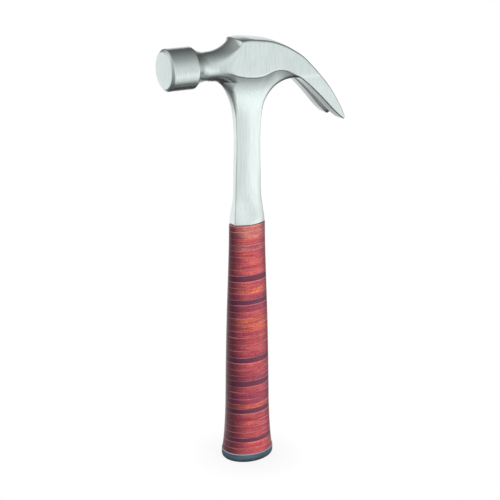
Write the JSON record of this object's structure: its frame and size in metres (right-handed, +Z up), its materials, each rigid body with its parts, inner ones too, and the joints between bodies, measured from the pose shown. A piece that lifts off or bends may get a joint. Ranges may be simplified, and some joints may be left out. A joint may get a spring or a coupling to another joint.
{
  "type": "claw hammer",
  "caption": "One-piece steel claw hammer with a round striking bell, a curved split claw, a flat waisted neck and a stacked leather washer grip closed by an oval steel end cap.",
  "frame": {"origin": "middle of the end cap's flat underside", "axes": "+Z up the handle to the head, +X from the striking face to the claw, Y across the thickness"},
  "size_m": [0.1405, 0.035, 0.331],
  "materials": {
    "steel": "forged, ground and lacquered, finely brushed along the handle",
    "cap_steel": "blue-grey satin with a bright upper rim",
    "leather_bright": "stained, ground flush with its neighbours and lacquered glossy",
    "leather_red": "stained, ground flush with its neighbours and lacquered glossy",
    "leather_deep": "stained, ground flush with its neighbours and lacquered glossy",
    "leather_plum": "stained, ground flush with its neighbours and lacquered glossy",
    "leather_dark": "stained, ground flush with its neighbours and lacquered glossy"
  },
  "bodies": {
    "root": {"forged_head_neck_and_tang": "steel", "leather_washer_01": "leather_deep", "leather_washer_02": "leather_red", "leather_washer_03": "leather_dark", "leather_washer_04": "leather_deep", "leather_washer_05": "leather_deep", "leather_washer_06": "leather_red", "leather_washer_07": "leather_deep", "leather_washer_08": "leather_dark", "leather_washer_09": "leather_bright", "leather_washer_10": "leather_plum", "leather_washer_11": "leather_deep", "leather_washer_12": "leather_red", "leather_washer_13": "leather_dark", "leather_washer_14": "leather_plum", "leather_washer_15": "leather_deep", "leather_washer_16": "leather_red", "leather_washer_17": "leather_dark", "leather_washer_18": "leather_deep", "leather_washer_19": "leather_deep", "leather_washer_20": "leather_plum", "leather_washer_21": "leather_deep", "leather_washer_22": "leather_bright", "leather_washer_23": "leather_red", "leather_washer_24": "leather_deep", "leather_washer_25": "leather_plum", "leather_washer_26": "leather_dark", "leather_washer_27": "leather_plum", "leather_washer_28": "leather_red", "leather_washer_29": "leather_red", "leather_washer_30": "leather_dark", "leather_washer_31": "leather_deep", "leather_washer_32": "leather_deep", "leather_washer_33": "leather_plum", "leather_washer_34": "leather_red", "leather_washer_35": "leather_red", "leather_washer_36": "leather_red", "leather_washer_37": "leather_red", "leather_washer_38": "leather_red", "butt_end_cap": "cap_steel"}
  },
  "joints": []
}
